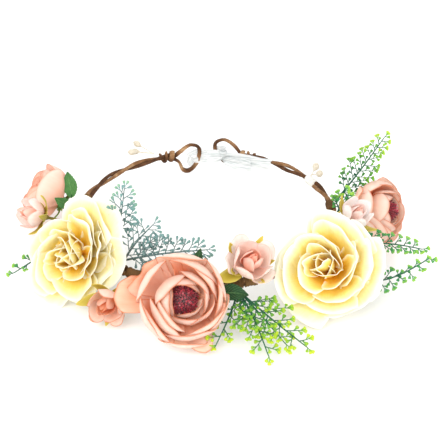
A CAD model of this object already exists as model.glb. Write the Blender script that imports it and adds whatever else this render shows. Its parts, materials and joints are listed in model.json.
"""Flower crown: the looks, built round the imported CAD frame. Lengths here are metres unless a name says mm."""

import json
from math import cos, pi, radians, sin, sqrt
from random import Random

import bpy
import numpy as np
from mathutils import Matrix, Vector, noise

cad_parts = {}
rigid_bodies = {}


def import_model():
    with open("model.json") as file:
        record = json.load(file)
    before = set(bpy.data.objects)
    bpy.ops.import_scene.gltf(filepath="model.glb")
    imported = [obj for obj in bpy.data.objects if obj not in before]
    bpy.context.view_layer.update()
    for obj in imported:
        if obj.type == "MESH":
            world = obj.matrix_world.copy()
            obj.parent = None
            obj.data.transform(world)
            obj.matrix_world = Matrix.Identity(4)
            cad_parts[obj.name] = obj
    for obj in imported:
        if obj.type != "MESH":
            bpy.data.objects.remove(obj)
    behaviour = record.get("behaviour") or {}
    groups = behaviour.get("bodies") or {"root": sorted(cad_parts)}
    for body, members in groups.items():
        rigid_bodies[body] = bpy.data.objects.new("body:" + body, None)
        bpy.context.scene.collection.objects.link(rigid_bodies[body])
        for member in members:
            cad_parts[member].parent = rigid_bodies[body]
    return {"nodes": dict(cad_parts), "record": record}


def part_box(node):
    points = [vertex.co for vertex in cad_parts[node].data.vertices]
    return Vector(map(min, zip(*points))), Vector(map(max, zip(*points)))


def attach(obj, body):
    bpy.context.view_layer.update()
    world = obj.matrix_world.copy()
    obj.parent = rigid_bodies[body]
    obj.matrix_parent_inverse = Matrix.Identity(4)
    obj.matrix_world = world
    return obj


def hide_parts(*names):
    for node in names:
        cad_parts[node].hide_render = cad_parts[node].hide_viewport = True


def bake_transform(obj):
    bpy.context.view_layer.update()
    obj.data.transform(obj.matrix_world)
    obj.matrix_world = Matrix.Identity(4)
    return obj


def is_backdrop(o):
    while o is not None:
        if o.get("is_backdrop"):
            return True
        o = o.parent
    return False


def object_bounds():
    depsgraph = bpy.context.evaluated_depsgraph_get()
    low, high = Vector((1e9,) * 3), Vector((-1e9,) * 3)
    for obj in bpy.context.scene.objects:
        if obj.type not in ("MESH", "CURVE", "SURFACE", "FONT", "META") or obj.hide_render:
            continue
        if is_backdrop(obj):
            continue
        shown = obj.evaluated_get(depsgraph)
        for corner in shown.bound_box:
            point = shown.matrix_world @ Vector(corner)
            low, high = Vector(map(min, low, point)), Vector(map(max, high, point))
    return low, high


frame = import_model()
cad_low, cad_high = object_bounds()
record = frame["record"]
joints = {joint["name"]: joint for joint in record["behaviour"]["joints"]}

MM = 0.001
FABRIC = 0.3 * MM  # thickness of a petal
UP = np.array([0.0, 0.0, 1.0])


# ---- Reading the frame ----


def unit(v):
    return v / np.linalg.norm(v)


def vertices(node):
    mesh = frame["nodes"][node].data
    flat = np.empty(3 * len(mesh.vertices))
    mesh.vertices.foreach_get("co", flat)
    return flat.reshape(-1, 3)


def centroid(node):
    """The centre of a CAD node's surface."""
    polygons = frame["nodes"][node].data.polygons
    centres, areas = np.empty(3 * len(polygons)), np.empty(len(polygons))
    polygons.foreach_get("center", centres)
    polygons.foreach_get("area", areas)
    return (centres.reshape(-1, 3) * areas[:, None]).sum(0) / areas.sum()


class Head:
    """A bloom's own axes, radius and depth, measured from its CAD nodes. X is right and Y up, seen from its face."""

    def __init__(self, calyx, outer, heart, stretch=(1.0, 1.0)):
        self.stretch = stretch
        back, front = centroid(calyx), centroid(heart)
        self.z = unit(front - back)
        self.x = unit(np.cross(UP, self.z))
        self.y = np.cross(self.z, self.x)
        petals = (vertices(outer) - front) @ self.matrix().T
        reach = np.hypot(petals[:, 0], petals[:, 1])
        self.radius = reach.max()
        low = petals[reach < 0.25 * self.radius, 2].min()
        self.origin = front + self.z * low
        self.depth = ((vertices(heart) - self.origin) @ self.z).max()
        self.depth = max(self.depth, petals[:, 2].max() - low)

    def matrix(self):
        return np.array([self.x, self.y, self.z])

    def world(self, points):
        return self.origin + points @ self.matrix()

    def local(self, points):
        return (np.asarray(points) - self.origin) @ self.matrix().T


def tips_of(node, pivot, count, spread=14):
    """The ends of the blades that leave a pivot: the farthest corners, each well apart from the last."""
    reach = vertices(node) - pivot
    lengths = np.linalg.norm(reach, axis=1)
    found = []
    for i in np.argsort(-lengths):
        way = reach[i] / lengths[i]
        if all(way @ unit(tip - pivot) < cos(radians(spread)) for tip in found):
            found.append(pivot + reach[i])
        if len(found) == count:
            break
    return found


def pivot_of(joint):
    return np.array(joints[joint]["pos_m"])


# ---- Mesh making ----


class Shape:
    """Collects pieces of mesh, with a tone per vertex: (shade, edge, chance) for the materials to read."""

    def __init__(self):
        self.points, self.faces, self.tones, self.places = [], [], [], []
        self.count = 0

    def add(self, points, faces, tones, places=None):
        self.points.append(points)
        self.tones.append(tones)
        self.places.append(points / MM if places is None else places)
        self.faces += [[i + self.count for i in face] for face in faces]
        self.count += len(points)

    def finish(self, name, material, slot, body=None, nodes=(), sharp=50):
        points = np.concatenate(self.points)
        mesh = bpy.data.meshes.new(name)
        mesh.from_pydata(points.tolist(), [], self.faces)
        mesh.validate()
        for label, rows in (("tone", self.tones), ("place", self.places)):
            layer = mesh.attributes.new(label, "FLOAT_VECTOR", "POINT")
            layer.data.foreach_set("vector", np.concatenate(rows).astype(np.float32).ravel())
        mesh.polygons.foreach_set("use_smooth", [True] * len(mesh.polygons))
        mesh.set_sharp_from_angle(angle=radians(sharp))
        mesh.materials.append(material)
        piece = bpy.data.objects.new(name, mesh)
        bpy.context.scene.collection.objects.link(piece)
        if body:
            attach(piece, body)
        if nodes:
            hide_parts(*nodes)
        return piece


def grid_faces(rows, columns, wrap=False, flip=False):
    faces = []
    for i in range(rows - 1):
        for j in range(columns if wrap else columns - 1):
            k = (j + 1) % columns
            face = [i * columns + j, i * columns + k, (i + 1) * columns + k, (i + 1) * columns + j]
            faces.append(face[::-1] if flip else face)
    return faces


def add_sheet(shape, surface, thickness, tones, places):
    """Adds a closed thin sheet round a grid of points."""
    rows, columns, _ = surface.shape
    along, across = np.gradient(surface, axis=0), np.gradient(surface, axis=1)
    normals = np.cross(across, along)
    normals /= np.linalg.norm(normals, axis=2, keepdims=True) + 1e-12
    half = normals * thickness / 2
    count = rows * columns
    points = np.concatenate([(surface + half).reshape(-1, 3), (surface - half).reshape(-1, 3)])
    faces = grid_faces(rows, columns) + [
        [i + count for i in face] for face in grid_faces(rows, columns, flip=True)
    ]
    rim = list(range(columns)) + [i * columns + columns - 1 for i in range(1, rows)]
    rim += [count - 1 - i for i in range(1, columns)] + [i * columns for i in range(rows - 2, 0, -1)]
    for a, b in zip(rim, rim[1:] + rim[:1]):
        faces.append([b, a, a + count, b + count])
    shape.add(points, faces, np.concatenate([tones, tones]), np.concatenate([places, places]))


def add_tube(shape, path, radii, sides=8, tones=(0, 0, 0), flatten=1.0, twist=0.0, ridges=0.0):
    """Adds a closed tube along a path. twist turns its section along the way, and ridges dents it."""
    path = np.asarray(path, float)
    radii = np.broadcast_to(np.asarray(radii, float), len(path))
    ways = np.gradient(path, axis=0)
    ways /= np.linalg.norm(ways, axis=1, keepdims=True)
    side = unit(np.cross(ways[0], UP if abs(ways[0][2]) < 0.9 else np.array([1.0, 0, 0])))
    points = []
    for i, (centre, way, radius) in enumerate(zip(path, ways, radii)):
        side = unit(side - way * (side @ way))
        other = np.cross(way, side)
        for j in range(sides):
            a = 2 * pi * j / sides
            r = radius * (1 + ridges * sin(2 * a + twist * i) + 0.4 * ridges * sin(5 * a + 1.7 * i))
            b = a + twist * i
            points.append(centre + r * (side * cos(b) + other * sin(b) * flatten))
    rows = len(path)
    points = np.array(points + [path[0], path[-1]])
    faces = grid_faces(rows, sides, wrap=True)
    last = (rows - 1) * sides
    faces += [[rows * sides, (j + 1) % sides, j] for j in range(sides)]
    faces += [[rows * sides + 1, last + j, last + (j + 1) % sides] for j in range(sides)]
    tones = np.asarray(tones, float)
    if tones.ndim == 2:
        tones = np.concatenate([np.repeat(tones, sides, axis=0), tones[:1], tones[-1:]])
    else:
        tones = np.tile(tones, (len(points), 1))
    shape.add(points, faces, tones)


def spline(points, count):
    """A smooth path through points, by Catmull-Rom."""
    points = [np.asarray(p, float) for p in points]
    padded = [2 * points[0] - points[1], *points, 2 * points[-1] - points[-2]]
    path = []
    for t in np.linspace(0, len(points) - 1 - 1e-9, count):
        i = int(t)
        a, b, c, d = padded[i : i + 4]
        f = t - i
        path.append(
            0.5 * (2 * b + (c - a) * f + (2 * a - 5 * b + 4 * c - d) * f**2 + (3 * b - a - 3 * c + d) * f**3)
        )
    return np.array(path)


# ---- Materials ----


def colour(code):
    """A linear colour from its hex code."""
    parts = [int(code[i : i + 2], 16) / 255 for i in (1, 3, 5)]
    return [*(p / 12.92 if p <= 0.04045 else ((p + 0.055) / 1.055) ** 2.4 for p in parts), 1.0]


class Material:
    """A node material under construction. Inputs may be values or other nodes' outputs."""

    def __init__(self, name):
        self.data = bpy.data.materials.new(name)
        self.data.use_nodes = True
        self.tree = self.data.node_tree
        self.tree.nodes.clear()
        tone = self.node("ShaderNodeAttribute", attribute_name="tone")
        split = self.node("ShaderNodeSeparateXYZ", {"Vector": tone.outputs["Vector"]})
        self.shade, self.edge, self.chance = split.outputs
        self.place = self.node("ShaderNodeAttribute", attribute_name="place").outputs["Vector"]

    def node(self, kind, inputs=None, **settings):
        node = self.tree.nodes.new(kind)
        for key, value in settings.items():
            setattr(node, key, value)
        for key, value in (inputs or {}).items():
            if isinstance(value, bpy.types.NodeSocket):
                self.tree.links.new(value, node.inputs[key])
            else:
                node.inputs[key].default_value = value
        return node

    def math(self, operation, a, b=0.0, clamp=False):
        return self.node("ShaderNodeMath", {0: a, 1: b}, operation=operation, use_clamp=clamp).outputs[0]

    def noise(self, scale, detail=3.0, stretch=(1, 1, 1), roughness=0.55):
        spread = self.node("ShaderNodeVectorMath", {0: self.place, 1: stretch}, operation="MULTIPLY")
        inputs = {"Vector": spread.outputs[0], "Scale": scale, "Detail": detail, "Roughness": roughness}
        return self.node("ShaderNodeTexNoise", inputs).outputs["Fac"]

    def ramp(self, factor, stops):
        node = self.node("ShaderNodeValToRGB", {"Fac": factor})
        elements = node.color_ramp.elements
        while len(elements) < len(stops):
            elements.new(0.5)
        for element, (position, code) in zip(elements, stops):
            element.position = position
            element.color = colour(code)
        return node.outputs["Color"]

    def mix(self, factor, a, b, blend="MIX"):
        node = self.node("ShaderNodeMix", data_type="RGBA", blend_type=blend)
        for socket, value in ((node.inputs[0], factor), (node.inputs[6], a), (node.inputs[7], b)):
            if isinstance(value, bpy.types.NodeSocket):
                self.tree.links.new(value, socket)
            else:
                socket.default_value = value
        return node.outputs[2]

    def surface(self, base, roughness, height=None, depth=0.1 * MM, through=0.0, through_colour=None, **more):
        inputs = {"Base Color": base, "Roughness": roughness}
        inputs.update({key.replace("_", " "): value for key, value in more.items()})
        if height is not None:
            bump = self.node("ShaderNodeBump", {"Height": height, "Distance": depth, "Strength": 1.0})
            inputs["Normal"] = bump.outputs["Normal"]
        shader = self.node("ShaderNodeBsdfPrincipled", inputs).outputs[0]
        if through:
            glow = self.node("ShaderNodeBsdfTranslucent", {"Color": through_colour or base})
            shader = self.node("ShaderNodeMixShader", {0: through, 1: shader, 2: glow.outputs[0]}).outputs[0]
        self.node("ShaderNodeOutputMaterial", {"Surface": shader})
        return self.data


def petal_material(name, stops, rim, rim_amount, rim_power=8.0, through=0.35):
    """Thin polyester petals: shaded from the fold to the rim, with fine streaks along their length.
    A high rim power keeps the rim's colour to a thin line."""
    m = Material(name)
    streaks = m.noise(1.0, 4.0, (42, 2.2, 1))
    clouds = m.noise(1.0, 2.0, (3, 3, 1))
    weave = m.noise(1.0, 2.0, (170, 170, 1))
    shade = m.math("ADD", m.shade, m.math("MULTIPLY", m.math("SUBTRACT", clouds, 0.5), 0.3))
    shade = m.math("ADD", shade, m.math("MULTIPLY", m.math("SUBTRACT", streaks, 0.5), 0.16), clamp=True)
    base = m.ramp(shade, stops)
    rim_share = m.math("MULTIPLY", m.math("POWER", m.edge, rim_power), rim_amount)
    base = m.mix(rim_share, base, colour(rim))
    height = m.math("ADD", m.math("MULTIPLY", streaks, 0.8), m.math("MULTIPLY", weave, 0.25))
    return m.surface(base, 0.72, height, 0.28 * MM, through, Sheen_Weight=0.15, Specular_IOR_Level=0.25)


def plant_material(name, stops, frost=0.0, roughness=0.5, through=0.12):
    """Moulded greenery: stems to leaflet tips by tone, with a frosted bloom where asked."""
    m = Material(name)
    mottle = m.noise(0.9, 3.0)
    shade = m.math("ADD", m.shade, m.math("MULTIPLY", m.math("SUBTRACT", mottle, 0.5), 0.25), clamp=True)
    base = m.ramp(shade, stops)
    if frost:
        dust = m.math("MULTIPLY", m.math("GREATER_THAN", m.noise(2.2, 2.0), 0.5), frost)
        base = m.mix(dust, base, colour("#CFE3E3"))
    grain = m.noise(3.0, 2.0)
    return m.surface(base, roughness, grain, 0.15 * MM, through, Specular_IOR_Level=0.35)


def leaf_material():
    """Printed polyester leaf with paler veins."""
    m = Material("leaf_fabric")
    split = m.node("ShaderNodeSeparateXYZ", {"Vector": m.place})
    across = m.math("ABSOLUTE", split.outputs[0])
    slant = m.math("SUBTRACT", m.math("MULTIPLY", split.outputs[1], 9.0), m.math("MULTIPLY", across, 3.2))
    stripe = m.math("ABSOLUTE", m.math("SUBTRACT", m.math("FRACT", slant), 0.5))
    veins = m.math("LESS_THAN", stripe, 0.06)
    midrib = m.math("LESS_THAN", across, 0.05)
    lines = m.math("MAXIMUM", veins, midrib)
    mottle = m.noise(1.0, 4.0, (8, 8, 1))
    base = m.ramp(m.math("ADD", m.shade, m.math("MULTIPLY", m.math("SUBTRACT", mottle, 0.5), 0.6), clamp=True),
                  [(0.0, "#16301C"), (0.5, "#2C5A33"), (1.0, "#5F9A50")])
    base = m.mix(m.math("MULTIPLY", lines, 0.45), base, colour("#7FAE6B"))
    height = m.math("SUBTRACT", m.noise(1.0, 2.0, (120, 120, 1)), m.math("MULTIPLY", lines, 0.8))
    return m.surface(base, 0.6, height, 0.2 * MM, 0.12, Specular_IOR_Level=0.3)


def paper_material(name, stops, wrap=0.0):
    """Crinkled paper wound round wire: fine creases across it and fibres along it."""
    m = Material(name)
    creases = m.noise(1.6, 5.0, (1, 1, 1), 0.7)
    patches = m.noise(0.22, 3.0)
    shade = m.math("ADD", m.math("MULTIPLY", creases, 0.55), m.math("MULTIPLY", patches, 0.55), clamp=True)
    shade = m.math("ADD", shade, m.math("MULTIPLY", m.math("SUBTRACT", m.shade, 0.5), 0.5), clamp=True)
    base = m.ramp(shade, stops)
    fine = m.noise(4.5, 3.0)
    height = m.math("ADD", creases, m.math("MULTIPLY", fine, 0.3))
    return m.surface(base, 0.78, height, 0.5 * MM, Specular_IOR_Level=0.2)


def steel_material():
    m = Material("vine_wire")
    base = m.ramp(m.noise(0.5, 3.0), [(0.0, "#6E6C68"), (1.0, "#A19E98")])
    return m.surface(base, 0.42, m.noise(3.0), 0.05 * MM, Metallic=1.0)


def stamen_material():
    m = Material("stamens")
    base = m.ramp(m.math("ADD", m.shade, m.math("MULTIPLY", m.math("SUBTRACT", m.noise(0.8), 0.5), 0.5), clamp=True),
                  [(0.0, "#3E0410"), (0.45, "#8A0C22"), (0.8, "#BC1F3C"), (1.0, "#F2A0A0")])
    return m.surface(base, 0.6, m.noise(3.0), 0.2 * MM, 0.1, Sheen_Weight=0.3)


def organza_material():
    """Thin white organza: partly see-through, with a fine weave."""
    m = Material("organza")
    weave = m.noise(1.0, 2.0, (200, 200, 1))
    folds = m.noise(1.0, 3.0, (5, 1.2, 1))
    base = m.ramp(folds, [(0.3, "#CDD3D3"), (0.58, "#FBFCFC")])
    body = {"Base Color": base, "Roughness": 0.5, "Sheen Weight": 0.4}
    bump = m.node("ShaderNodeBump", {"Height": weave, "Distance": 0.1 * MM, "Strength": 1.0})
    body["Normal"] = bump.outputs["Normal"]
    solid = m.node("ShaderNodeBsdfPrincipled", body).outputs[0]
    glow = m.node("ShaderNodeBsdfTranslucent", {"Color": base}).outputs[0]
    clear = m.node("ShaderNodeBsdfTransparent").outputs[0]
    cloth = m.node("ShaderNodeMixShader", {0: 0.45, 1: solid, 2: glow}).outputs[0]
    see = m.math("SUBTRACT", 0.34, m.math("MULTIPLY", folds, 0.4), clamp=True)
    m.node("ShaderNodeOutputMaterial", {"Surface": m.node("ShaderNodeMixShader", {0: see, 1: cloth, 2: clear}).outputs[0]})
    return m.data


def plain_material(name, dark, light, roughness=0.6, through=0.0):
    m = Material(name)
    base = m.ramp(m.noise(0.8, 3.0), [(0.2, dark), (0.8, light)])
    return m.surface(base, roughness, m.noise(2.5, 2.0), 0.12 * MM, through)


CREAM = [(0.0, "#FFB000"), (0.25, "#FFD030"), (0.5, "#FFE978"), (0.75, "#FFF6BE"), (1.0, "#FFFCE8")]
PEACH = [(0.0, "#E65A0C"), (0.15, "#F9914A"), (0.36, "#FFC49C"), (0.66, "#FFE0CC"), (1.0, "#FFF0E6")]
BLUSH = [(0.0, "#F39A5E"), (0.35, "#FBBE98"), (0.7, "#FFDCC8"), (1.0, "#FFEEE4")]
PINK = [(0.0, "#F58B55"), (0.25, "#FDBB9A"), (0.6, "#FFE0D2"), (1.0, "#FFF8F4")]
WHITE_PINK = [(0.0, "#F7B89C"), (0.35, "#FDDDD0"), (0.7, "#FFF3EF"), (1.0, "#FFFFFF")]

MATERIALS = {
    "cream_petals": petal_material("cream_petals", CREAM, "#FFFEF4", 0.9, 2.0),
    "peach_petals": petal_material("peach_petals", PEACH, "#DE8648", 0.85, through=0.5),
    "blush_petals": petal_material("blush_petals", BLUSH, "#EFA67C", 0.7, through=0.45),
    "pink_petals": petal_material("pink_petals", PINK, "#F6B7A0", 0.5, through=0.5),
    "white_pink_petals": petal_material("white_pink_petals", WHITE_PINK, "#F6C4B4", 0.4, through=0.5),
    "stamens": stamen_material(),
    "fern_frosted": plant_material(
        "fern_frosted", [(0.0, "#1B3A3A"), (0.4, "#345C5A"), (0.75, "#5A8884"), (1.0, "#79A874")], 0.25
    ),
    "fern_bright": plant_material(
        "fern_bright", [(0.0, "#123F3C"), (0.35, "#256B3C"), (0.65, "#6FA92F"), (1.0, "#C3D62A")]
    ),
    "fern_deep": plant_material(
        "fern_deep", [(0.0, "#123D3A"), (0.4, "#1F6442"), (0.75, "#3C8F4A"), (1.0, "#93C443")]
    ),
    "calyx_green": plant_material("calyx_green", [(0.0, "#2E4F1E"), (0.6, "#5C8B35"), (1.0, "#8DB450")]),
    "bud_calyx": plant_material("bud_calyx", [(0.0, "#5F5A1E"), (0.5, "#B39B32"), (1.0, "#DCCB5E")]),
    "leaf_fabric": leaf_material(),
    "vine_paper": paper_material(
        "vine_paper", [(0.15, "#2C1A10"), (0.45, "#5B3B25"), (0.7, "#86603F"), (0.95, "#C4A27A")]
    ),
    "floral_tape": paper_material("floral_tape", [(0.15, "#3A2A18"), (0.6, "#6B4C2C"), (0.95, "#9A7850")]),
    "white_tape": paper_material("white_tape", [(0.15, "#CFCBC0"), (0.6, "#EFEDE6"), (0.95, "#FFFFFF")]),
    "stem_wire": paper_material("stem_wire", [(0.15, "#2F3A1A"), (0.6, "#566A2C"), (0.95, "#8A9A50")]),
    "vine_wire": steel_material(),
    "organza": organza_material(),
    "white_pips": plain_material("white_pips", "#C4B69C", "#F1EBDD", 0.45, 0.2),
}


# ---- Petals ----


class Ring:
    """A ring of petals. Its profile is four (radius, height) points as shares of the bloom's radius and depth,
    and its width is a share of the radius."""

    def __init__(self, count, profile, width, cup=1.1, ruffle=0.0, roll=0.0, point=0.0, shade=(0.0, 1.0), start=0.0,
                 stray=1.0, lean=0.05, turn=None, grow=(1.0, 1.0), shift=(0.0, 0.0)):
        self.count, self.profile, self.width, self.cup = count, profile, width, cup
        self.ruffle, self.roll, self.point, self.shade = ruffle, roll, point, shade
        self.start, self.stray, self.lean = start, stray, lean
        self.turn, self.grow, self.shift = turn or 360 / count, grow, shift


    def wilder(self, amount, point):
        """The same ring with stronger ruffles and more scatter, and with more pointed petals."""
        return Ring(self.count, self.profile, self.width, self.cup, self.ruffle * amount, self.roll, point, self.shade,
                    self.start, self.stray * amount, self.lean * amount, self.turn, self.grow, self.shift)


def bezier(profile, t):
    """Position and slope at t of the curve through four control points."""
    a, b, c, d = profile
    s = 1 - t
    place = [a[k] * s**3 + 3 * b[k] * s**2 * t + 3 * c[k] * s * t**2 + d[k] * t**3 for k in (0, 1)]
    slope = [3 * ((b[k] - a[k]) * s**2 + 2 * (c[k] - b[k]) * s * t + (d[k] - c[k]) * t**2) for k in (0, 1)]
    return place, slope


def add_petal(shape, head, ring, angle, rng, size=1.0, skew=(0.0, 0.0), columns=17, rows=17):
    """One petal: it follows its ring's profile, cups round the bloom's axis, rolls and ruffles at its rim."""
    u = np.linspace(-1, 1, columns)[None, :].repeat(rows, 0)
    v = np.linspace(0, 1, rows)[:, None].repeat(columns, 1)
    jitter = [1 + 0.07 * ring.stray * rng.uniform(-1, 1) for _ in range(3)]
    profile = [
        (r * head.radius * size * (jitter[0] if i > 1 else 1), z * head.depth * (jitter[1] if i > 1 else 1))
        for i, (r, z) in enumerate(ring.profile)
    ]
    rounding = 0.24 * np.abs(u) ** 2.8 + ring.point * 0.45 * np.abs(u) ** 1.3
    t = v * (1 - rounding)
    (r, z), (dr, dz) = bezier(profile, t)
    steep = np.hypot(dr, dz) + 1e-9
    inward_r, inward_z = -dz / steep, dr / steep
    half = 0.5 * ring.width * head.radius * size * jitter[2]
    width = half * (0.34 + 0.66 * np.sin(pi / 2 * np.minimum(1, v / 0.72)) ** 1.1)
    bend = np.maximum(ring.cup * np.abs(r), 0.22 * half)
    turn = np.clip(u * width / bend, -2.6, 2.6)
    inward = bend * (1 - np.cos(turn))
    across = bend * np.sin(turn)
    seed = rng.uniform(0, 100)
    waves = np.sin(u * rng.uniform(2.4, 4.0) + seed) + 0.35 * np.sin(u * rng.uniform(6, 9) + 2 * seed)
    ripple = ring.ruffle * MM * waves * v**2.6
    ripple = ripple - ring.roll * MM * np.abs(u) ** 3 * v**1.5
    drift = np.array(
        [[noise.noise(Vector((2.2 * a, 2.4 * b, seed))) for a, b in zip(row_u, row_v)] for row_u, row_v in zip(u, v)]
    )
    ripple = ripple + 0.035 * head.radius * drift * v * ring.stray
    lean = ring.lean * head.radius * u * (0.3 + 0.7 * v)
    out = r + inward_r * (inward + ripple) + lean
    high = z + inward_z * (inward + ripple)
    a = radians(angle)
    rise = np.clip(high / head.depth, 0, 1.2) ** 1.5
    x = out * cos(a) - across * sin(a) + (skew[0] + ring.shift[0] * MM) * rise
    y = out * sin(a) + across * cos(a) + (skew[1] + ring.shift[1] * MM) * rise
    surface = head.world(np.stack([x * head.stretch[0], y * head.stretch[1], high], axis=2))
    low, top = ring.shade
    shade = low + (top - low) * v**1.15 + 0.06 * np.abs(u)
    edge = np.clip((np.maximum(v, np.abs(u) * (v > 0.25)) - 0.78) / 0.22, 0, 1)
    chance = np.full_like(u, rng.random())
    tones = np.stack([np.clip(shade, 0, 1), edge, chance], axis=2).reshape(-1, 3)
    places = np.stack([u, v, np.full_like(u, seed)], axis=2).reshape(-1, 3)
    add_sheet(shape, surface, FABRIC, tones, places)


def add_rings(shape, head, rings, seed, skew=(0.0, 0.0)):
    rng = Random(seed)
    for ring in rings:
        for i in range(ring.count):
            angle = ring.start + ring.turn * i + 6 * ring.stray * rng.uniform(-1, 1)
            size = ring.grow[0] + (ring.grow[1] - ring.grow[0]) * i / max(1, ring.count - 1)
            add_petal(shape, head, ring, angle, rng, size, skew)


def petal_piece(bloom, part, head, rings, seed, slot, skew=(0.0, 0.0), extras=()):
    """Makes one CAD petal layer's piece: rings of petals and any single petals, as (ring, angle, size)."""
    shape = Shape()
    add_rings(shape, head, rings, seed, skew)
    rng = Random(seed + 500)
    for ring, angle, size in extras:
        add_petal(shape, head, ring, angle, rng, size, skew)
    node = f"{bloom}_{part}"
    return shape.finish(f"{node}_fabric", MATERIALS[slot], slot, bloom, [node])


GOLDEN = 137.5  # degrees between a petal and the next, in a spiral

ROSE_HEART = [
    Ring(3, [(0.02, 0.22), (0.13, 0.42), (0.12, 0.78), (0.10, 1.00)], 0.46, 1.05, 0.2, 0.2, shade=(0.0, 0.6), lean=0.12),
    Ring(4, [(0.04, 0.20), (0.26, 0.32), (0.22, 0.80), (0.30, 1.00)], 0.66, 1.1, 0.4, 0.6, shade=(0.0, 0.75), start=40,
         turn=GOLDEN, grow=(0.85, 1.15), lean=0.10),
]
ROSE_MIDDLE = [
    Ring(4, [(0.05, 0.14), (0.42, 0.20), (0.38, 0.78), (0.52, 0.94)], 0.90, 1.15, 0.5, 1.4, shade=(0.0, 0.85), start=75,
         turn=GOLDEN, grow=(0.88, 1.08), lean=0.08),
    Ring(5, [(0.07, 0.09), (0.56, 0.12), (0.56, 0.70), (0.74, 0.80)], 1.05, 1.3, 0.6, 2.0, shade=(0.08, 0.92), start=20,
         turn=GOLDEN, grow=(0.92, 1.10), lean=0.08),
]
ROSE_OUTER = [
    Ring(5, [(0.08, 0.05), (0.66, 0.06), (0.74, 0.58), (0.94, 0.60)], 1.15, 1.6, 0.8, 2.2, shade=(0.2, 1.0), start=10,
         turn=GOLDEN, grow=(0.92, 1.06), lean=0.08),
    Ring(6, [(0.08, 0.00), (0.64, -0.02), (0.86, 0.32), (1.02, 0.34)], 1.20, 2.2, 1.0, 2.6, shade=(0.3, 0.98), start=35,
         turn=GOLDEN, grow=(0.95, 1.03)),
]
WHITE_PETAL = Ring(1, [(0.08, 0.02), (0.80, -0.02), (1.02, 0.30), (1.30, 0.20)], 1.05, 2.0, 0.8, 1.5, 0.15, (0.5, 0.95))


def cream_rose(bloom, seed, skew, stretch=(1.0, 1.0), extras=(), wild=1.0, point=0.0):
    head = Head(f"{bloom}_calyx", f"{bloom}_outer_petals", f"{bloom}_heart_petals", stretch)
    layers = {"heart_petals": ROSE_HEART, "middle_petals": ROSE_MIDDLE, "outer_petals": ROSE_OUTER}
    for i, (part, rings) in enumerate(layers.items()):
        rings = [ring.wilder(wild, point) for ring in rings]
        more = extras if part == "outer_petals" else ()
        petal_piece(bloom, part, head, rings, seed + i, "cream_petals", skew, more)
    return head


RANUNCULUS_OUTER = [
    Ring(6, [(0.08, 0.00), (1.04, -0.08), (1.18, 0.46), (0.92, 0.76)], 1.20, 1.0, 0.3, 0.2, shade=(0.5, 1.0), start=25,
         lean=0.06),
    Ring(4, [(0.08, 0.04), (0.98, 0.00), (1.08, 0.56), (0.78, 0.86)], 1.35, 1.0, 0.2, 0.1, shade=(0.15, 1.0), start=70,
         turn=-72, lean=0.08),
    Ring(3, [(0.08, 0.08), (0.90, 0.06), (0.98, 0.64), (0.66, 0.94)], 1.35, 1.0, 0.2, 0.1, shade=(0.1, 0.98), start=40,
         turn=-88, lean=0.10, shift=(0.6, -0.6)),
]
RANUNCULUS_INNER = [
    Ring(4, [(0.08, 0.12), (0.66, 0.12), (0.78, 0.64), (0.50, 0.96)], 1.10, 1.0, 0.2, shade=(0.15, 0.98), start=50,
         lean=0.08, shift=(1.6, -1.0)),
    Ring(4, [(0.08, 0.16), (0.56, 0.18), (0.66, 0.62), (0.40, 0.92)], 0.98, 1.0, 0.2, shade=(0.35, 1.0), start=8,
         lean=0.08, shift=(1.2, -0.6)),
    Ring(3, [(0.08, 0.20), (0.46, 0.24), (0.52, 0.58), (0.31, 0.82)], 0.80, 1.0, 0.15, shade=(0.5, 1.0), start=65,
         shift=(0.8, -0.4)),
]


def stamen_cushion(bloom, head, radius, seed, skew, height):
    """A dome crowded with small blunt stamens."""
    rng = Random(seed)
    shape = Shape()
    count = 170
    top = height * head.depth
    for i in range(count):
        rise = 1 - 0.85 * (i + 0.5) / count
        spread = sqrt(1 - rise**2)
        a = i * pi * (3 - sqrt(5))
        way = np.array([spread * cos(a), spread * sin(a), rise])
        foot = np.array([0, 0, 0.35 * head.depth]) + way * [0.55 * radius, 0.55 * radius, 0.10 * head.depth]
        end = way * [radius, radius, top - 0.35 * head.depth] + [0, 0, 0.35 * head.depth]
        end = end * (1 + 0.05 * rng.uniform(-1, 1))
        path = np.linspace(foot, end, 4)
        path[:, 0] += skew[0] * 0.6
        path[:, 1] += skew[1] * 0.6
        thick = 0.055 * radius * rng.uniform(0.8, 1.2) * 1.6
        bright = rng.uniform(0.1, 0.9)
        tones = [(0.1, 0, 0), (0.3 * bright, 0, 0), (bright, 0, 0), (bright, 0, 0)]
        add_tube(shape, head.world(path), [thick * 0.6, thick * 0.7, thick, thick * 0.5], 5, tones)
    node = f"{bloom}_stamen_cushion"
    shape.finish(f"{node}_flock", MATERIALS["stamens"], "stamens", bloom, [node])


def ranunculus(bloom, seed, skew, extras, height=0.66, cushion=0.36):
    head = Head(f"{bloom}_calyx", f"{bloom}_outer_petals", f"{bloom}_stamen_cushion")
    petal_piece(bloom, "outer_petals", head, RANUNCULUS_OUTER, seed, "peach_petals", skew, extras)
    petal_piece(bloom, "inner_petals", head, RANUNCULUS_INNER, seed + 1, "peach_petals", skew)
    stamen_cushion(bloom, head, cushion * head.radius, seed + 2, skew, height)
    return head


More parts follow.
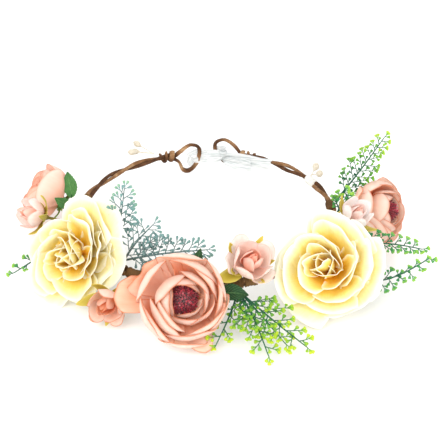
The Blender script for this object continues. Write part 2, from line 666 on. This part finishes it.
PEONY_OUTER = [
    Ring(4, [(0.08, 0.00), (1.10, -0.06), (1.30, 0.50), (1.08, 0.98)], 1.75, 1.05, 0.4, 0.6, shade=(0.35, 1.0), start=50),
    Ring(4, [(0.08, 0.05), (0.92, 0.04), (1.04, 0.60), (0.86, 0.96)], 1.50, 1.05, 0.5, 0.5, shade=(0.1, 0.9), start=95),
]
PEONY_HEART = [
    Ring(4, [(0.05, 0.12), (0.70, 0.14), (0.74, 0.62), (0.58, 0.94)], 1.10, 1.05, 0.4, 0.3, shade=(0.0, 0.8), start=10),
    Ring(4, [(0.05, 0.18), (0.48, 0.22), (0.48, 0.62), (0.36, 0.90)], 0.80, 1.05, 0.3, 0.2, shade=(0.0, 0.7), start=50),
    Ring(3, [(0.03, 0.20), (0.24, 0.30), (0.22, 0.65), (0.14, 0.86)], 0.50, 1.05, 0.2, 0.1, shade=(0.0, 0.6), start=20),
]


def peony(bloom, seed):
    head = Head(f"{bloom}_calyx", f"{bloom}_outer_petals", f"{bloom}_heart_petals")
    petal_piece(bloom, "outer_petals", head, PEONY_OUTER, seed, "blush_petals")
    petal_piece(bloom, "heart_petals", head, PEONY_HEART, seed + 1, "blush_petals")
    return head


BUD_HEART = [
    Ring(3, [(0.05, 0.10), (0.30, 0.25), (0.26, 0.70), (0.05, 1.00)], 0.62, 1.0, 0.1, 0.1, 0.6, shade=(0.0, 0.42), lean=0.16),
    Ring(4, [(0.08, 0.08), (0.52, 0.18), (0.50, 0.66), (0.24, 0.96)], 0.86, 1.0, 0.2, 0.3, 0.5, shade=(0.0, 0.72),
         start=35, lean=0.14),
]
BUD_OUTER = [
    Ring(5, [(0.10, 0.00), (0.80, 0.02), (0.92, 0.50), (0.80, 0.92)], 1.15, 1.05, 0.35, 0.9, 0.25, shade=(0.5, 1.0), start=10),
]

FLARED = Ring(1, [(0.10, -0.02), (0.85, -0.08), (1.05, 0.35), (1.30, 0.58)], 1.05, 1.4, 0.4, 0.9, 0.2, (0.75, 1.0))


def sepal_ring(count=5):
    return Ring(count, [(0.04, -0.04), (0.60, -0.16), (1.06, 0.16), (1.26, 0.50)], 0.62, 1.3, 0.2, 0.4, 1.1,
                shade=(0.2, 0.9), start=25, stray=2.0)


LONG_SEPAL = Ring(1, [(0.04, -0.06), (0.80, -0.26), (1.35, 0.05), (1.75, 0.40)], 0.75, 1.6, 0.5, 0.8, 0.9, (0.2, 0.9))


def add_calyx(shape, head, length):
    """The tapering cup behind the sepals."""
    path = head.world(np.array([[0, 0, -length], [0, 0, -0.6 * length], [0, 0, -0.2 * length], [0, 0, -0.1 * MM]]))
    radii = np.array([0.08, 0.15, 0.24, 0.27]) * head.radius + 0.4 * MM
    add_tube(shape, path, radii, 12, [(0.1, 0, 0), (0.3, 0, 0), (0.45, 0, 0), (0.5, 0, 0)])


def rosebud(bloom, heart, seed, slot, start, extras=(), sepals=()):
    petals, bud, calyx = f"{bloom}_petals", f"{bloom}_{heart}", f"{bloom}_calyx_and_stem"
    head = Head(calyx, petals, bud)
    petal_piece(bloom, "bud", head, BUD_HEART, seed, slot)
    petal_piece(bloom, "petals", head, BUD_OUTER, seed + 1, slot, extras=extras)
    shape = Shape()
    ring = sepal_ring()
    ring.start = start
    add_rings(shape, head, [ring], seed + 2)
    for angle in sepals:
        add_petal(shape, head, LONG_SEPAL, angle, Random(seed + 3))
    add_calyx(shape, head, 4.5 * MM)
    pivot = pivot_of(f"{bloom}_nod")
    elbow = head.origin - head.z * 7 * MM
    path = spline([pivot, pivot + 0.55 * (elbow - pivot), elbow, head.origin - head.z * 3 * MM], 24)
    add_tube(shape, path, 1.0 * MM, 8, (0.15, 0, 0), ridges=0.06, twist=0.5)
    shape.finish(f"{calyx}_moulding", MATERIALS["bud_calyx"], "bud_calyx", bloom, [calyx])
    return head


def large_calyx(bloom, head, seed):
    shape = Shape()
    ring = Ring(5, [(0.04, -0.06), (0.30, -0.18), (0.50, -0.18), (0.72, -0.10)], 0.34, 1.6, 0.2, 0.3, 1.1,
                shade=(0.3, 0.9), start=20, stray=1.5)
    add_rings(shape, head, [ring], seed)
    add_calyx(shape, head, 7 * MM)
    shape.finish(f"{bloom}_calyx_moulding", MATERIALS["calyx_green"], "calyx_green", bloom, [f"{bloom}_calyx"])


# ---- Leaves ----


def add_leaf(shape, base, tip, half_width, face, shade, bow=0.12, seed=0.0):
    """A pointed leaf, folded along its midrib and toothed at its edge."""
    rows, columns = 22, 9
    base, tip = np.asarray(base), np.asarray(tip)
    along = tip - base
    length = np.linalg.norm(along)
    across = unit(np.cross(face, along))
    normal = np.cross(unit(along), across)
    u = np.linspace(-1, 1, columns)[None, :, None]
    v = np.linspace(0, 1, rows)[:, None, None]
    outline = np.sin(pi * np.clip(v, 0.02, 0.99) ** 0.8) ** 0.85
    teeth = 1 + 0.05 * np.sin(60 * v) * np.abs(u) ** 4
    lift = bow * length * (np.sin(pi * v) * 0.8 - 0.35 * v) + half_width * 0.35 * np.abs(u) * outline
    lift = lift + 0.05 * half_width * np.sin(9 * v + 4 * u + seed)
    surface = base + along * v + across * u * half_width * outline * teeth + normal * lift
    grid = np.broadcast_to(u, (rows, columns, 1)), np.broadcast_to(v, (rows, columns, 1))
    tones = np.concatenate([np.full((rows, columns, 1), shade), 0 * grid[0], 0 * grid[0]], axis=2)
    places = np.concatenate([grid[0], grid[1], np.full((rows, columns, 1), seed)], axis=2)
    add_sheet(shape, surface, 0.35 * MM, tones.reshape(-1, 3), places.reshape(-1, 3))


# ---- Fern sprays ----


FAN = [(0, 0.07), (0.40, 0.13), (0.82, 0.42), (1.00, 0.38), (1.08, 0.14), (1.02, 0.0)]  # half of a leaflet's outline
FAN += [(a, -b) for a, b in FAN[-2::-1]]


def add_leaflet(shape, foot, way, side, size, tone, slim=1.0):
    """A small fan-shaped leaflet on its stalk, with a shallow notch at its end."""
    normal = unit(np.cross(way, side)) * 0.28 * MM
    outline = FAN
    flat = np.array([foot + way * a * size - side * b * slim * size for a, b in outline])
    middle = foot + way * 0.72 * size
    count = len(outline)
    points = np.concatenate([flat + normal, flat - normal, [middle + 1.7 * normal, middle - 1.7 * normal]])
    faces = []
    for i in range(count):
        j = (i + 1) % count
        faces += [[i, j, 2 * count], [count + j, count + i, 2 * count + 1], [j, i, count + i, count + j]]
    tones = np.array([(tone * (0.55 + 0.45 * min(1, a)), 0, 0) for a, _ in outline] * 2 + [(tone, 0, 0)] * 2)
    shape.add(points, faces, tones)


def add_frond(shape, base, tip, half_width, face, rng, tone, sag, bow, leaflet, gap, slim, start):
    """A frond: a bowed main stem, side branches on alternate sides and leaflets along each branch. Its stem sags
    towards its face and bows sideways by shares of its length."""
    base, tip = np.asarray(base), np.asarray(tip)
    along = tip - base
    length = np.linalg.norm(along)
    forward = unit(along)
    across = unit(np.cross(face, forward))
    normal = np.cross(forward, across)
    bow += rng.uniform(-0.04, 0.04)

    def stem(t):
        return base + along * t + (normal * sag + across * bow) * length * sin(pi * t)

    path = np.array([stem(t) for t in np.linspace(0, 1, 16)])
    add_tube(shape, path, np.linspace(0.75, 0.35, 16) * MM, 6, [(0.12 + 0.2 * t, 0, 0) for t in np.linspace(0, 1, 16)])
    count = max(4, int(length * (1 - start) / gap))
    for i in range(count):
        t = start + (1 - start) * i / count
        turn = 1 if i % 2 else -1
        fullness = min(1.0, 0.45 + 2.2 * t) * (1 - 0.75 * max(0.0, t - 0.35) / 0.65)
        reach = half_width * fullness * rng.uniform(0.9, 1.15)
        lean = radians(rng.uniform(44, 56))
        lift = rng.uniform(-0.25, 0.35)
        way = unit(forward * cos(lean) + across * turn * sin(lean) + normal * lift)
        add_branch(shape, stem(t), way, normal, reach, t, rng, tone, leaflet, slim)
    add_branch(shape, stem(1.0), forward, normal, 2.5 * MM, 1.0, rng, tone, leaflet, slim)


def add_branch(shape, foot, way, normal, reach, t, rng, tone, leaflet, slim):
    """A side branch with leaflets left and right of it and one at its end."""
    side = unit(np.cross(normal, way))
    curl = side * rng.uniform(-0.1, 0.1) + normal * rng.uniform(-0.1, 0.15)
    path = np.array([foot + way * reach * s + curl * reach * s * s for s in (0, 0.35, 0.7, 1.0)])
    add_tube(shape, path, np.array([0.36, 0.32, 0.28, 0.24]) * MM, 5, (0.15 + 0.15 * t, 0, 0))
    low, high = tone
    steps = max(1, int(reach / ((0.25 + 0.6 * slim) * leaflet)))
    for k in range(steps):
        s = (k + 0.75) / (steps + 0.4)
        point = foot + way * reach * s + curl * reach * s * s
        turn = 1 if k % 2 else -1
        lean = radians(rng.uniform(40, 62))
        out = unit(way * cos(lean) + side * turn * sin(lean) + normal * rng.uniform(-0.2, 0.2))
        shade = low + (high - low) * (0.45 * s + 0.55 * t) + rng.uniform(-0.12, 0.12)
        add_leaflet(shape, point, out, unit(np.cross(normal, out)), leaflet * rng.uniform(0.85, 1.15), shade, slim)
    shade = low + (high - low) * (0.5 + 0.5 * t)
    end_way = unit(path[-1] - path[-2])
    for turn in (-0.35, 0.35):
        out = unit(end_way + side * turn + normal * rng.uniform(-0.3, 0.3))
        add_leaflet(shape, path[-1], out, unit(np.cross(normal, out)), leaflet * rng.uniform(0.9, 1.1), shade, slim)


def spray(name, count, width, face, seed, slot, tone=(0.3, 1.0), more=(), spread=14, sags=(0.06,), leaflet=3.2, gap=4.2,
          slim=1.0, start=0.14, bows=(0.0,)):
    """Builds a CAD spray's fronds towards its blades' ends, and more fronds part-way between two of them."""
    rng = Random(seed)
    pivot = pivot_of(f"{name}_sway")
    tips = tips_of(name, pivot, count, spread)
    shape = Shape()
    face = unit(np.array(face, float))
    ends = tips + [pivot + (tips[i] * (1 - share) + tips[j] * share - pivot) * reach for i, j, share, reach in more]
    for i, tip in enumerate(ends):
        sag, bow = sags[i % len(sags)], bows[i % len(bows)]
        add_frond(shape, pivot, tip, width * MM, face, rng, tone, sag, bow, leaflet * MM, gap * MM, slim, start)
    shape.finish(f"{name}_leaflets", MATERIALS[slot], slot, name, [name], sharp=30)


# ---- Vine, loops and tape ----

RING = float(np.hypot(*pivot_of("left_arm_flex")[:2]))
STRAND = 1.4 * MM
TWIST_REACH = 1.5 * MM
TURNS = 9.0  # of the two strands round a whole ring


def ring_point(angle, outward=0.0, rise=0.0):
    reach = RING + outward
    return np.array([reach * cos(radians(angle)), reach * sin(radians(angle)), rise])


def strand_path(first, last, phase, reach):
    """A strand that wanders round the vine's centreline, opening a little here and there."""
    count = int((last - first) * 1.4)
    path = []
    for angle in np.linspace(first, last, count):
        turn = radians(TURNS * angle + phase)
        swell = reach * (1 + 0.4 * noise.noise(Vector((angle * 0.09, 5.1, 0))))
        path.append(ring_point(angle, swell * cos(turn), swell * sin(turn) * 0.9))
    return np.array(path)


def vine(side, first, last, body=None):
    """Two twisted paper-wrapped strands and the wires inside them."""
    paper, steel = Shape(), Shape()
    for phase in (0, 180):
        path = strand_path(first, last, phase, TWIST_REACH)
        bumps = [1 + 0.10 * noise.noise(Vector((i * 0.5, phase, 3.0))) for i in range(len(path))]
        add_tube(paper, path, STRAND * np.array(bumps), 12, (0.5 + 0.3 * cos(radians(phase)), 0, 0), ridges=0.09, twist=0.35)
        add_tube(steel, path[1:-1], 0.45 * MM, 6)
    nodes = f"{side}_vine_paper", f"{side}_vine_wire"
    return (
        paper.finish(f"{side}_vine_paper_twist", MATERIALS["vine_paper"], "vine_paper", body, [nodes[0]]),
        steel.finish(f"{side}_vine_steel_twist", MATERIALS["vine_wire"], "vine_wire", body, [nodes[1]]),
    )


def angle_of(point):
    return float(np.degrees(np.arctan2(point[1], point[0]))) % 360


LEFT_BEND = angle_of(pivot_of("left_arm_flex"))
RIGHT_BEND = angle_of(pivot_of("right_arm_flex")) + 360


def end_of(node, side):
    """The angle round the ring where an arm's straight strands stop, from its wire's CAD node."""
    points = vertices(node)
    angles = np.degrees(np.arctan2(points[:, 1], points[:, 0])) % 360
    return angles.min() if side == "left" else angles.max()


LEFT_END = end_of("left_vine_wire", "left")
RIGHT_END = end_of("right_vine_wire", "right") + 360

vine("front", LEFT_BEND - 2, RIGHT_BEND + 2, "root")
for piece in vine("left", LEFT_END, LEFT_BEND):
    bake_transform(piece)
for piece in vine("right", RIGHT_BEND, RIGHT_END):
    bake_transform(piece)


def end_loop(side, end, towards, outline):
    """A strand bent into an eye beyond the end of an arm, with its tail coiled back round the vine.
    The outline gives (distance towards the gap, height) as shares of the CAD loop's size."""
    low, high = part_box(f"{side}_end_loop")
    tangent = ring_point(end + 90 * towards) / RING
    root = ring_point(end)
    span = 22 * MM
    shape = Shape()
    eye = [root + tangent * along * span + UP * (low.z + up * (high.z - low.z)) for along, up in outline]
    path = spline(eye, 60)
    radii = np.linspace(2.1, 2.9, 60) * MM * (1 + 0.12 * np.sin(np.linspace(0, 19, 60)))
    tones = [(0.1 + 0.85 * sin(0.16 * i) ** 2, 0, 0) for i in range(60)]
    add_tube(shape, path, radii, 14, tones, 0.5, 0.09, 0.10)
    turns, steps = 2.4, 60
    coil = []
    for i in range(steps):
        share = i / (steps - 1)
        angle = end - towards * (0.2 + 7.5 * share)
        a = 2 * pi * turns * share + 0.6
        reach = (3.3 - 0.3 * share) * MM
        coil.append(ring_point(angle, reach * cos(a), reach * sin(a)))
    tones = [(0.55 + 0.45 * sin(0.3 * i), 0, 0) for i in range(steps)]
    add_tube(shape, coil, np.linspace(2.2, 1.2, steps) * MM, 12, tones, 0.5, 0.05, 0.12)
    shape.finish(f"{side}_end_loop_twist", MATERIALS["vine_paper"], "vine_paper", f"{side}_arm", [f"{side}_end_loop"])


end_loop("left", LEFT_END, -1,
         [(0.0, 0.62), (0.25, 0.78), (0.62, 0.97), (0.95, 0.80), (0.86, 0.32), (0.60, 0.06), (0.34, 0.10), (0.2, 0.40), (0, 0.56)])
end_loop("right", RIGHT_END, 1,
         [(0.0, 0.46), (0.28, 0.80), (0.62, 0.97), (0.95, 0.78), (0.92, 0.35), (0.6, 0.06), (0.3, 0.12), (0.12, 0.3), (0, 0.4)])


def tape_wrap(shape, angle, seed):
    """A few turns of crinkled floral tape round the vine."""
    rng = Random(seed)
    steps = 26
    span = rng.uniform(2.4, 3.4)
    path = [ring_point(angle - span + 2 * span * i / (steps - 1)) for i in range(steps)]
    ridge = [3.05 + 0.32 * abs(sin(i * 0.55 + seed)) + 0.1 * rng.random() for i in range(steps)]
    ridge[0] = ridge[-1] = 2.75
    add_tube(shape, path, np.array(ridge) * MM, 16, (rng.random(), 0, 0), ridges=0.05, twist=0.3)


def tape(node, angles, body, material, slot):
    shape = Shape()
    for i, angle in enumerate(angles):
        tape_wrap(shape, angle, i)
    shape.finish(f"{node}_crepe", MATERIALS[material], slot, body, [node])


front_roots = [angle_of(np.array(j["pos_m"])) for j in joints.values() if j["name"].endswith(("_nod", "_sway"))
               and j["parent"] == "root"]
tape("front_tape_wraps", front_roots, "root", "floral_tape", "floral_tape")
tape("right_tape_wrap", [angle_of(pivot_of("right_pips_sway"))], "right_arm", "white_tape", "organza")


# ---- Pips ----


def pips(side, count, seed, spread):
    """White buds on short wires, each a pointed drop with a small cap."""
    rng = Random(seed)
    node = f"{side}_pips"
    pivot = pivot_of(f"{node}_sway")
    shape = Shape()
    for tip in tips_of(node, pivot, count, spread):
        way = unit(tip - pivot)
        bud = tip - way * 6.5 * MM
        path = spline([pivot - way * 1.0 * MM, pivot + way * 3 * MM, bud, bud + way * 0.6 * MM], 10)
        add_tube(shape, path, 0.4 * MM, 6, (0.5, 0, 0))
        shares = np.linspace(0, 1, 12)
        drop = [bud + way * s * 8 * MM for s in shares]
        swell = 2.5 * MM * np.sin(pi * shares**1.3) ** 0.8 + 0.1 * MM
        add_tube(shape, drop, swell, 14, (0.9, 0, rng.random()), ridges=0.05)
    shape.finish(f"{node}_drops", MATERIALS["white_pips"], "white_pips", node, [node])


pips("left", 3, 3, 14)
pips("right", 2, 4, 40)


# ---- Ribbon ----


def add_ribbon(shape, path, width, tilt, seed, thickness=0.22 * MM, gather=(1.0, 1.0)):
    """A strip of organza along a path. tilt turns its width from upright, per point, in degrees."""
    path = np.asarray(path)
    rows, columns = len(path), 13
    ways = np.gradient(path, axis=0)
    ways /= np.linalg.norm(ways, axis=1, keepdims=True)
    surface = np.empty((rows, columns, 3))
    tilt = np.interp(np.linspace(0, 1, rows), np.linspace(0, 1, len(tilt)), tilt)
    pull = np.interp(np.linspace(0, 1, rows), np.linspace(0, 1, len(gather)), gather)
    for i in range(rows):
        level = unit(np.cross(ways[i], UP))
        rise = np.cross(level, ways[i])
        a = radians(tilt[i])
        across = rise * cos(a) + level * sin(a)
        normal = np.cross(across, ways[i])
        for j in range(columns):
            s = j / (columns - 1) - 0.5
            fold = sin(s * 14 + seed) * 0.9 + sin(i * 0.35 + s * 5 + seed) * 0.5
            fold *= MM * (0.35 + 0.65 * (1 - pull[i]) + 0.25)
            surface[i, j] = path[i] + across * s * width * pull[i] + normal * fold
    u = np.broadcast_to(np.linspace(-1, 1, columns)[None, :], (rows, columns))
    v = np.broadcast_to(np.linspace(0, rows / 14, rows)[:, None], (rows, columns))
    tones = np.stack([np.full((rows, columns), 0.8), 0 * u, 0 * u], axis=2).reshape(-1, 3)
    places = np.stack([u, v, np.full((rows, columns), seed)], axis=2).reshape(-1, 3)
    add_sheet(shape, surface, thickness, tones, places)


RIBBON = 12 * MM
left_eye = np.array(next(m["pos_m"] for m in record["mounts"] if m["name"] == "left_ribbon_eye"))
right_eye = np.array(next(m["pos_m"] for m in record["mounts"] if m["name"] == "right_ribbon_eye"))
gap_middle = (left_eye + right_eye) / 2 + np.array([0, 3.2 * MM, -1.5 * MM])
knot = pivot_of("ribbon_tails_hang") + np.array([0, 0, 6.0 * MM])


def ribbon_bands():
    """The band from each loop to the middle of the gap. Each follows its own arm and meets the other there."""
    left = Shape()
    inward = unit(-ring_point(LEFT_END)) * MM
    stop = left_eye + inward * 4
    path = spline([stop, left_eye, left_eye + (gap_middle - left_eye) * 0.45 + UP * 0.5 * MM, gap_middle], 30)
    add_ribbon(left, path, RIBBON, (10, -10, -30, -20), 1.0, gather=(0.3, 0.55, 0.9, 1.0))
    knot_path = [stop + inward + UP * rise * MM for rise in np.linspace(-4.2, 4.2, 12)]
    swell = 0.7 + 2.1 * np.sin(np.linspace(0, pi, 12)) ** 0.7
    add_tube(left, knot_path, swell * MM, 14, (0.8, 0, 0), 0.8, 0.35, 0.14)
    piece = left.finish("ribbon_left_band_organza", MATERIALS["organza"], "organza", None, ["ribbon_left_band"])
    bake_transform(piece)
    right = Shape()
    path = spline([gap_middle, gap_middle + (right_eye - gap_middle) * 0.5, right_eye, knot], 30)
    add_ribbon(right, path, RIBBON, (-20, -35, -10, 5), 1.0, gather=(1.0, 0.9, 0.6, 0.35))
    piece = right.finish("ribbon_right_band_organza", MATERIALS["organza"], "organza", None)
    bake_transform(piece)


def beside_knot(along, inward, rise):
    """A point near the bow's knot, in mm: along the vine towards its arm, inwards from the knot and up."""
    angle = angle_of(knot) - np.degrees(along * MM / RING)
    return ring_point(angle, np.hypot(*knot[:2]) - RING - inward * MM, knot[2] + rise * MM)


def ribbon_bow():
    """Two flat loops on either side of the knot, the longer one laid along the vine."""
    shape = Shape()
    for turn, reach in ((1, 40), (-1, 13)):
        loop = []
        for s in np.linspace(0, 1, 30):
            a = 2 * pi * s
            loop.append(beside_knot(turn * reach * (1 - cos(a)) / 2, 1.6 + 1.8 * sin(a), -0.9 + 1.6 * sin(a) - 2 * sin(pi * s)))
        add_ribbon(shape, loop, RIBBON * 0.85, (0, 22, 8, -22, 0), 2.0 + turn, gather=(0.35, 0.85, 1.0, 0.85, 0.35))
    wrap = [beside_knot(3.0 * cos(a), 1.4 + 2.4 * sin(a), 0) for a in np.linspace(0, 2 * pi, 20)]
    add_ribbon(shape, wrap, RIBBON * 0.5, (0, 0), 4.0, gather=(0.9, 0.9))
    shape.finish("ribbon_bow_organza", MATERIALS["organza"], "organza", "right_arm", ["ribbon_bow"])


def ribbon_tails():
    """A long and a short tail that hang from under the knot, in front of the bow and the vine."""
    shape = Shape()
    for length, droop, inward, tilt in ((44, -1.5, 5.2, 14), (26, -5.0, 6.4, -20)):
        path = [
            beside_knot(0, 0.5, -6.0),
            beside_knot(0.12 * length, 0.8 * inward, -4.6),
            beside_knot(0.5 * length, inward, -3.6 + 0.3 * droop),
            beside_knot(length, inward, droop),
        ]
        add_ribbon(shape, spline(path, 36), RIBBON * 0.85, (0, tilt, tilt / 2, -tilt), droop, gather=(0.3, 0.7, 1.0, 1.0))
    shape.finish("ribbon_tails_organza", MATERIALS["organza"], "organza", "ribbon_tails", ["ribbon_tails"])


ribbon_bands()
ribbon_bow()
ribbon_tails()


# ---- The blooms ----

SIDE_PETAL = Ring(1, [(0.10, -0.10), (0.90, -0.22), (1.30, 0.15), (1.66, 0.34)], 1.05, 3.0, 1.6, 1.6, 0.0, (0.32, 0.62), stray=3.0)
TIP_PETAL = Ring(1, [(0.10, -0.02), (0.90, -0.12), (1.15, 0.25), (1.28, 0.62)], 0.7, 1.3, 0.3, 0.8, 0.7, shade=(0.3, 0.85))
HIGH_PETAL = Ring(1, [(0.10, -0.02), (0.90, -0.12), (1.20, 0.25), (1.42, 0.60)], 0.9, 1.3, 0.4, 0.8, 0.6, shade=(0.4, 0.9))

right_rose = cream_rose("cream_rose_right", 11, (-0.006, 0.003), wild=1.7, point=0.25)
left_rose = cream_rose(
    "cream_rose_left", 27, (-0.001, -0.002), (0.92, 1.08), [(WHITE_PETAL, 50, 1.0), (WHITE_PETAL, 0, 1.0)],
    wild=2.4, point=0.55,
)
front_bloom = ranunculus("ranunculus_front", 41, (0.0015, -0.001), [(SIDE_PETAL, 172, 0.97), (SIDE_PETAL, 146, 0.86), (TIP_PETAL, -70, 1.0)])
side_bloom = ranunculus("ranunculus_right", 57, (0.001, 0.0), [(HIGH_PETAL, 128, 1.0)], 1.02, 0.42)
left_bloom = peony("peony_left", 71)
for name, head, seed in (
    ("cream_rose_right", right_rose, 81),
    ("cream_rose_left", left_rose, 82),
    ("ranunculus_front", front_bloom, 83),
    ("ranunculus_right", side_bloom, 84),
    ("peony_left", left_bloom, 85),
):
    large_calyx(name, head, seed)
    frame["nodes"][f"{name}_stem"].data.materials.clear()
    frame["nodes"][f"{name}_stem"].data.materials.append(MATERIALS["stem_wire"])

rosebud("rose_left", "bud", 101, "pink_petals", 10)
rosebud("rosebud_front_left", "bud", 111, "peach_petals", 60, [(FLARED, a, 0.9) for a in (-60, -130)], (190,))
rosebud("rosebud_centre", "bud", 121, "pink_petals", 200, [(FLARED, a, 1.0) for a in (165, 95, 300, 20)], (190,))
rosebud("rosebud_right", "bud", 131, "white_pink_petals", 150, (), (170, -60))


def loose_parts(node):
    """The separate solids of a CAD node, as groups of points."""
    mesh = frame["nodes"][node].data
    parent = list(range(len(mesh.vertices)))

    def root(i):
        while parent[i] != i:
            i = parent[i]
        return i

    points = vertices(node)
    seen = {}
    for i, p in enumerate(np.round(points, 6)):
        parent[i] = seen.setdefault(tuple(p), i)
    for edge in mesh.edges:
        a, b = root(edge.vertices[0]), root(edge.vertices[1])
        parent[a] = b
    groups = {}
    for i in range(len(points)):
        groups.setdefault(root(i), []).append(points[i])
    return [np.array(group) for group in groups.values()]


def leaves(bloom, face, shade):
    """Leaves along each of the bloom's CAD leaves, from the end nearer its stem's root."""
    node = f"{bloom}_leaves"
    pivot = pivot_of(f"{bloom}_nod")
    shape = Shape()
    for i, group in enumerate(loose_parts(node)):
        centre = group.mean(0)
        first = group[np.argmax(np.linalg.norm(group - centre, axis=1))]
        second = group[np.argmax(np.linalg.norm(group - first, axis=1))]
        base, tip = sorted((first, second), key=lambda p: np.linalg.norm(p - pivot))
        axis = unit(tip - base)
        half = np.linalg.norm((group - base) - np.outer((group - base) @ axis, axis), axis=1).max()
        add_leaf(shape, base, tip, half, np.array(face, float), shade, seed=3.0 * i)
        path = spline([pivot, (pivot + base) / 2 + [0, 0, -0.0006], base, base + axis * 0.004], 10)
        add_tube(shape, path, 0.5 * MM, 6, (0.4, 0, 0))
    return shape.finish(f"{node}_fabric", MATERIALS["leaf_fabric"], "leaf_fabric", bloom, [node])


leaves("ranunculus_front", (0, -0.6, 1), 0.3)
leaves("peony_left", (0.2, -1, 0.2), 0.8)

# ---- The sprays ----

spray("fern_left_upright", 1, 10, (0, -1, 0.3), 201, "fern_frosted", (0.3, 0.95), leaflet=4.4, gap=2.4, slim=0.5, start=0.42)
spray("fern_left_level", 2, 10, (0, -1, 0.6), 202, "fern_frosted", (0.3, 0.8), leaflet=4.8, gap=2.4, slim=0.4)
spray("fern_front", 3, 14, (0, -0.5, 1), 203, "fern_bright", (0.35, 1.0), [(0, 1, 0.4, 0.9)], leaflet=3.5, gap=4.8, slim=0.72)
spray("fern_far_left", 1, 7, (0, -0.6, 1), 204, "fern_deep", (0.5, 1.0), slim=0.72)
spray("fern_right_low", 2, 8, (0, -0.8, 1), 205, "fern_deep", (0.2, 1.0), spread=9, gap=2.8, slim=0.72, bows=(-0.26, 0.05))
spray("fern_right_inner", 2, 10, (0, -1, 0.5), 206, "fern_deep", (0.5, 1.0), spread=10, leaflet=3.6, gap=2.6, slim=0.72, start=0.4)
spray("fern_right_upright", 1, 11, (0, -1, 0.4), 207, "fern_bright", (0.1, 0.9), spread=5, gap=2.4, slim=0.72)


# ---- Stage, light and camera ----


def stage(low):
    size = 4.0
    mesh = bpy.data.meshes.new("floor")
    z = low - 0.2 * MM
    corners = [(-size, -size, z), (size, -size, z), (size, size, z), (-size, size, z)]
    mesh.from_pydata(corners, [], [(0, 1, 2, 3)])
    m = Material("floor_paper")
    m.surface(colour("#F7F7F6"), 0.9)
    mesh.materials.append(m.data)
    floor = bpy.data.objects.new("floor", mesh)
    bpy.context.scene.collection.objects.link(floor)
    floor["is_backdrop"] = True


def light(name, place, target, size, power):
    lamp = bpy.data.lights.new(name, "AREA")
    lamp.size, lamp.energy = size, power
    holder = bpy.data.objects.new(name, lamp)
    holder.location = place
    holder.rotation_euler = (Vector(target) - Vector(place)).to_track_quat("-Z", "Y").to_euler()
    bpy.context.scene.collection.objects.link(holder)


def camera():
    lens = bpy.data.cameras.new("camera")
    lens.lens, lens.sensor_width = 70, 36
    lens.clip_start = 0.01
    holder = bpy.data.objects.new("camera", lens)
    target = Vector((0.0123, -0.0169, 0.0))
    elevation = radians(32)
    away = Vector((0, -cos(elevation), sin(elevation))) * 0.596
    holder.location = target + away
    holder.rotation_euler = (-away).to_track_quat("-Z", "Y").to_euler()
    bpy.context.scene.collection.objects.link(holder)
    bpy.context.scene.camera = holder


low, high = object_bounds()
stage(min(low[2], cad_low[2]))
light("key", (-0.4, -0.9, 0.8), (0, -0.02, 0), 0.9, 12)
light("fill", (0.7, -0.8, 0.5), (0, -0.02, 0), 1.0, 7)
light("back", (0.1, 0.9, 0.8), (0, 0, 0), 0.9, 4)
world = bpy.data.worlds.new("world")
world.use_nodes = True
world.node_tree.nodes["Background"].inputs["Color"].default_value = (1, 1, 1, 1)
world.node_tree.nodes["Background"].inputs["Strength"].default_value = 0.87
bpy.context.scene.world = world
bpy.context.scene.view_settings.view_transform = "Standard"
camera()

low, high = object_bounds()
